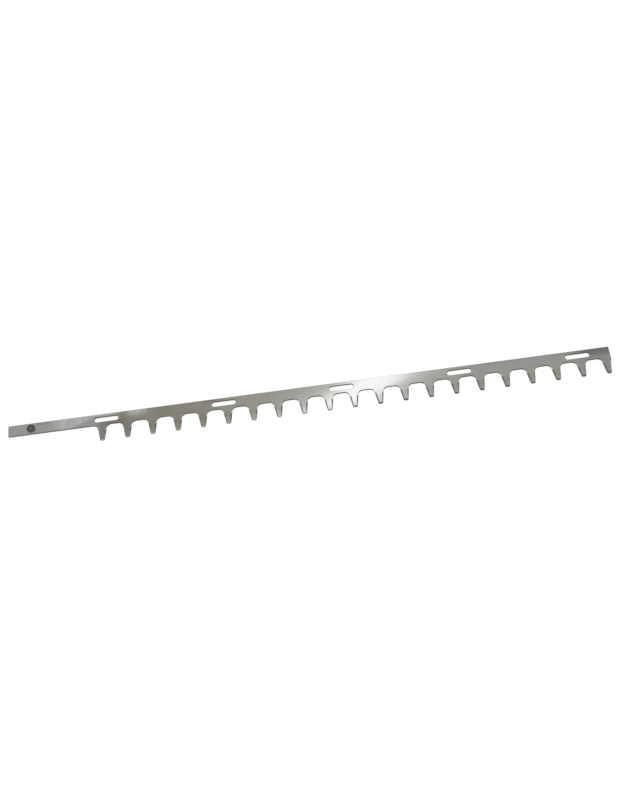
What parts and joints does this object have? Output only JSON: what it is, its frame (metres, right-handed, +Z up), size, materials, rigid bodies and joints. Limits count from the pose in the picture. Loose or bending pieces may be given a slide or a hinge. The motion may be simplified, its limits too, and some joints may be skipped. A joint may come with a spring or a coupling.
{
  "type": "hedge trimmer blade",
  "caption": "Long flat steel cutter blade with tapered, bevel-ground teeth along one edge, guide slots in the bar and a riveted drive pin in its plain shank.",
  "frame": {"origin": "on the drive pin's axis, on the flat mating face", "axes": "+X along the bar to the free end, teeth towards -Y, +Z up out of the bevelled face"},
  "size_m": [0.838, 0.0408, 0.004],
  "materials": {
    "ground_steel": "ground, lightly stained",
    "blackened_steel": "blackened"
  },
  "bodies": {
    "root": {"blade": "ground_steel", "drive_pin": "blackened_steel"}
  },
  "joints": []
}
